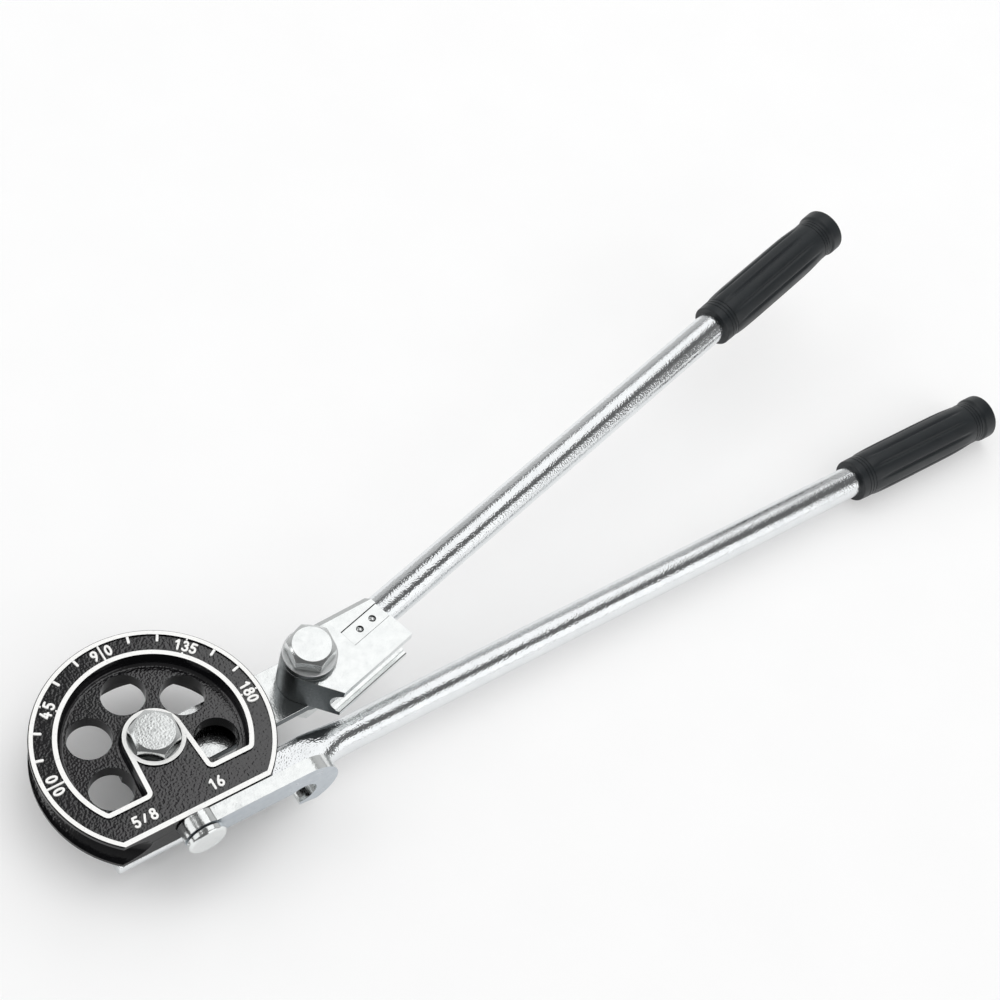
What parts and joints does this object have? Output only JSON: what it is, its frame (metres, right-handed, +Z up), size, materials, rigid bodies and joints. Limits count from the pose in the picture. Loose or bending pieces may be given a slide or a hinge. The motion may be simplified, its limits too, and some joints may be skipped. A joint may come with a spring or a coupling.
{
  "type": "lever tube bender",
  "caption": "Hand lever bender for small tube: grooved form wheel, swinging link with grooved slide block, hooked tube latch and two long gripped handles.",
  "frame": {"origin": "centre of the centre bolt's lower end, on the wheel's axis, where the tool's head rests", "axes": "+X along the fixed handle from the wheel to its grip, +Y to the swinging link's side, +Z up along the wheel's axis"},
  "size_m": [0.5985, 0.1668, 0.0807],
  "materials": {
    "wheel_enamel": "black wrinkle enamel on cast iron, white painted raised marks",
    "zinc_plate": "bright zinc plated steel with fine spangle",
    "bolt_zinc": "bright zinc plated forged bolts, nuts and washers",
    "screw_steel": "plain bright steel",
    "bush_bronze": "turned bronze",
    "grip_rubber": "black moulded grip, satin, fluted along its length"
  },
  "bodies": {
    "former": {"form_wheel": "wheel_enamel", "fixed_handle_tube": "zinc_plate", "fixed_grip": "grip_rubber", "handle_screw_rear": "screw_steel", "handle_screw_front": "screw_steel", "handle_washer_rear": "screw_steel", "handle_washer_front": "screw_steel", "centre_bolt": "bolt_zinc", "centre_bush": "bush_bronze", "centre_washer": "bolt_zinc", "centre_nut": "bolt_zinc", "latch_pin": "zinc_plate", "latch_spring_washer": "screw_steel"},
    "link": {"swing_link": "zinc_plate", "shoe_bolt": "bolt_zinc", "shoe_head_washer": "bolt_zinc", "shoe_bush": "bush_bronze", "shoe_nut_washer": "bolt_zinc", "shoe_nut": "bolt_zinc"},
    "shoe_handle": {"slide_block": "zinc_plate", "moving_handle_tube": "zinc_plate", "moving_grip": "grip_rubber", "block_stake_inner": "screw_steel", "block_stake_outer": "screw_steel"},
    "latch": {"tube_latch": "zinc_plate"}
  },
  "joints": [
    {"name": "link_swing", "type": "hinge", "parent": "former", "child": "link", "pos_m": [0, 0, 0.0203], "axis": [0, 0, 1], "range_deg": [-1.6, 178.4]},
    {"name": "shoe_pivot", "type": "hinge", "parent": "link", "child": "shoe_handle", "pos_m": [0.08647, 0.00242, 0.0345], "axis": [0, 0, 1], "range_deg": [-84, 80]},
    {"name": "latch_swing", "type": "hinge", "parent": "former", "child": "latch", "pos_m": [-0.0015, -0.0477, 0.0363], "axis": [0, -1, 0], "range_deg": [0, 197]}
  ]
}
